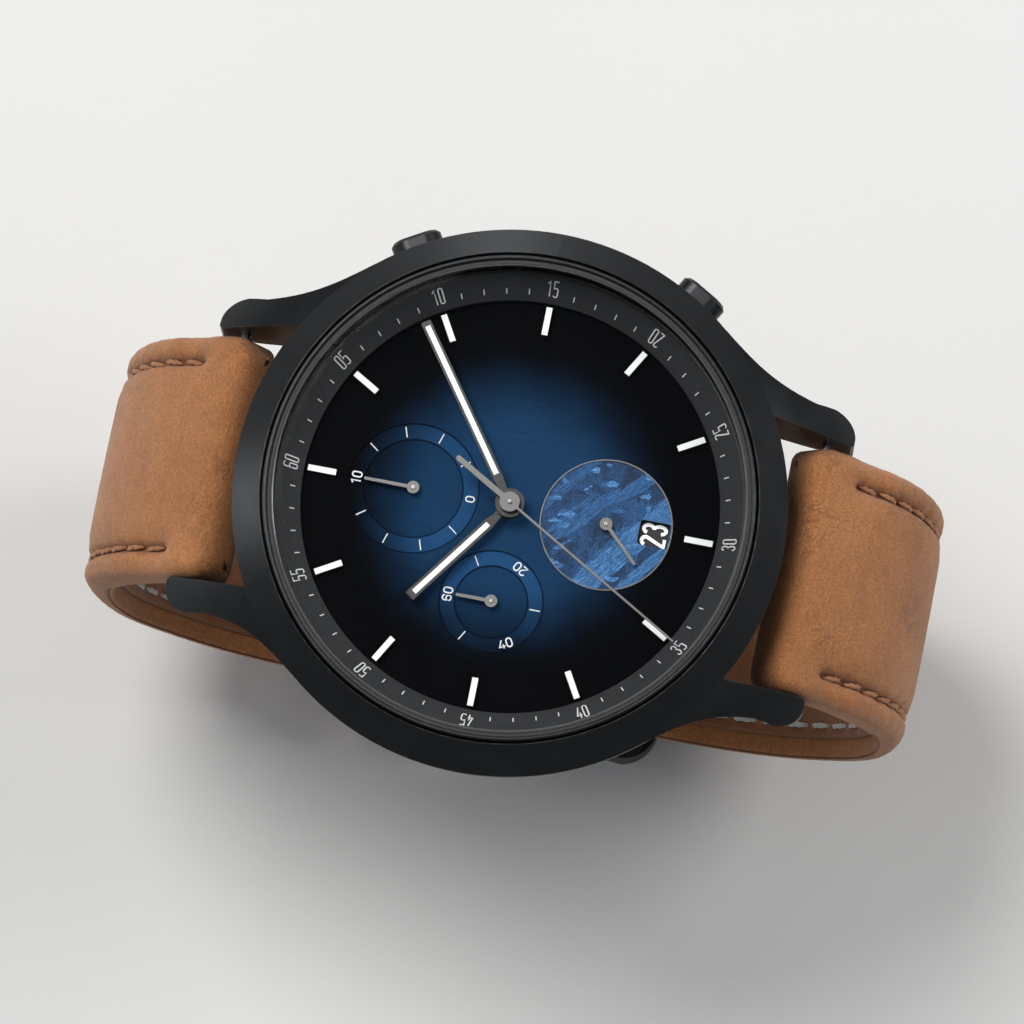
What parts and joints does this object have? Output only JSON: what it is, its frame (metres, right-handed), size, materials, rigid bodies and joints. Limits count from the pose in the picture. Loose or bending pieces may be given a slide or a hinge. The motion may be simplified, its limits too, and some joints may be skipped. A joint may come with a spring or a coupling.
{
  "type": "chronograph wristwatch",
  "caption": "Black round chronograph wristwatch with a blue dial, sub-dials, pushers, crown and a padded tan leather strap closed in a loop.",
  "frame": {"origin": "centre of the case back's flat outer face, on the dial axis", "axes": "+Z out through the crystal, +Y towards 12 o'clock, +X towards 3 o'clock and the crown"},
  "size_m": [0.0438, 0.0678, 0.0546],
  "materials": {
    "black_steel": "satin black coating over steel",
    "sapphire": "clear, polished",
    "black_rubber": "moulded",
    "grey_ring": "fine grained matt",
    "blue_dial": "fume blue fading to black",
    "blue_meteorite": "etched criss-cross crystal bands",
    "silver": "satin",
    "black_paint": "satin",
    "white_lume": "matt luminous paint",
    "date_print": "matt black with white numbers",
    "steel": "brushed",
    "brushed_back": "brushed",
    "brass": "machined",
    "nickel_brass": "grained and plated",
    "board": "solder mask",
    "copper": "fine enamelled wire",
    "magnet": "ground",
    "white_plastic": "moulded",
    "tan_leather": "smooth tan",
    "lining_leather": "fine grain",
    "padding": "felt"
  },
  "bodies": {
    "watch": {"case_middle": "black_steel", "bezel_ring": "black_steel", "crystal": "sapphire", "crystal_gasket": "black_rubber", "minute_ring": "grey_ring", "dial": "blue_dial", "meteorite_disc": "blue_meteorite", "meteorite_ring": "silver", "hour_markers": "black_paint", "marker_lume": "white_lume", "main_plate": "nickel_brass", "train_bridge": "nickel_brass", "circuit_board": "board", "battery": "steel", "battery_clamp": "steel", "motor_coils": "copper", "stators": "steel", "rotors": "magnet", "movement_screws": "steel", "movement_holder": "white_plastic", "case_tubes": "steel", "pusher_gaskets": "black_rubber", "pusher_spring_2h": "steel", "pusher_spring_4h": "steel", "case_back": "brushed_back", "case_back_gasket": "black_rubber", "case_back_screws": "steel", "spring_bars": "steel", "strap_long_leather": "tan_leather", "strap_short_leather": "tan_leather", "strap_linings": "lining_leather", "strap_fillers": "padding", "fixed_keeper": "tan_leather"},
    "minute_hand_body": {"minute_hand": "black_paint", "minute_hand_lume": "white_lume", "cannon_pinion": "steel", "centre_wheel": "brass"},
    "hour_hand_body": {"hour_hand": "black_paint", "hour_hand_lume": "white_lume", "hour_wheel": "brass"},
    "minute_wheel_body": {"minute_wheel": "brass"},
    "third_wheel_body": {"third_wheel": "brass"},
    "small_seconds_body": {"small_seconds_hand": "silver", "small_seconds_wheel": "brass"},
    "chrono_seconds_body": {"chrono_seconds_hand": "silver", "chrono_seconds_wheel": "brass"},
    "counter_12_body": {"counter_hand_12": "silver", "counter_wheel_12": "brass"},
    "counter_6_body": {"counter_hand_6": "silver", "counter_wheel_6": "brass"},
    "date_body": {"date_disc": "date_print"},
    "setting_lever_body": {"setting_lever": "steel"},
    "crown_body": {"crown": "black_steel", "winding_stem": "steel", "crown_gasket": "black_rubber"},
    "pusher_2h_body": {"pusher_2h": "black_steel"},
    "pusher_4h_body": {"pusher_4h": "black_steel"},
    "keeper_body": {"sliding_keeper": "tan_leather"},
    "buckle_frame_body": {"buckle_frame": "black_steel"},
    "buckle_tongue_body": {"buckle_tongue": "black_steel"}
  },
  "joints": [
    {"name": "minute_hand_turn", "type": "hinge", "parent": "watch", "child": "minute_hand_body", "pos_m": [0, 0, 0.009], "axis": [0, 0, 1], "continuous": true},
    {"name": "hour_hand_turn", "type": "hinge", "parent": "watch", "child": "hour_hand_body", "pos_m": [0, 0, 0.0084], "axis": [0, 0, 1], "continuous": true},
    {"name": "minute_wheel_turn", "type": "hinge", "parent": "watch", "child": "minute_wheel_body", "pos_m": [0.0026, 0.0015, 0.006], "axis": [0, 0, 1], "continuous": true},
    {"name": "third_wheel_turn", "type": "hinge", "parent": "watch", "child": "third_wheel_body", "pos_m": [-0.00441, 0.00087, 0.003], "axis": [0, 0, 1], "continuous": true},
    {"name": "small_seconds_turn", "type": "hinge", "parent": "watch", "child": "small_seconds_body", "pos_m": [-0.0077, 0, 0.0078], "axis": [0, 0, 1], "continuous": true},
    {"name": "chrono_seconds_turn", "type": "hinge", "parent": "watch", "child": "chrono_seconds_body", "pos_m": [0, 0, 0.0096], "axis": [0, 0, 1], "continuous": true},
    {"name": "counter_12_turn", "type": "hinge", "parent": "watch", "child": "counter_12_body", "pos_m": [0, 0.00773, 0.0078], "axis": [0, 0, 1], "continuous": true},
    {"name": "counter_6_turn", "type": "hinge", "parent": "watch", "child": "counter_6_body", "pos_m": [0, -0.00765, 0.0078], "axis": [0, 0, 1], "continuous": true},
    {"name": "date_turn", "type": "hinge", "parent": "watch", "child": "date_body", "pos_m": [0, 0, 0.0066], "axis": [0, 0, 1], "continuous": true},
    {"name": "crown_pull", "type": "slide", "parent": "watch", "child": "setting_lever_body", "axis": [1, 0, 0], "range_m": [0, 0.001]},
    {"name": "crown_turn", "type": "hinge", "parent": "setting_lever_body", "child": "crown_body", "pos_m": [0.0215, 0, 0.0046], "axis": [1, 0, 0], "continuous": true},
    {"name": "pusher_2h_press", "type": "slide", "parent": "watch", "child": "pusher_2h_body", "axis": [-0.866, -0.5, 0], "range_m": [0, 0.0007], "stiffness_N_per_m": 1500, "springref_m": -0.0005, "deforming": ["pusher_spring_2h"]},
    {"name": "pusher_4h_press", "type": "slide", "parent": "watch", "child": "pusher_4h_body", "axis": [-0.866, 0.5, 0], "range_m": [0, 0.0007], "stiffness_N_per_m": 1500, "springref_m": -0.0005, "deforming": ["pusher_spring_4h"]},
    {"name": "keeper_slide", "type": "slide", "parent": "watch", "child": "keeper_body", "axis": [0, 1, 0], "range_m": [-0.0035, 0.0025]},
    {"name": "buckle_frame_swing", "type": "hinge", "parent": "watch", "child": "buckle_frame_body", "pos_m": [0, -0.0045, -0.03753], "axis": [1, 0, 0], "range_deg": [0, 8]},
    {"name": "buckle_tongue_swing", "type": "hinge", "parent": "buckle_frame_body", "child": "buckle_tongue_body", "pos_m": [0, -0.0045, -0.03753], "axis": [1, 0, 0], "range_deg": [0, 6]}
  ],
  "couplings": [
    {"joint": "hour_hand_turn", "follows": "minute_hand_turn", "ratio": 0.083333},
    {"joint": "minute_wheel_turn", "follows": "minute_hand_turn", "ratio": -0.33333},
    {"joint": "third_wheel_turn", "follows": "minute_hand_turn", "ratio": -8},
    {"joint": "small_seconds_turn", "follows": "minute_hand_turn", "ratio": 60}
  ]
}
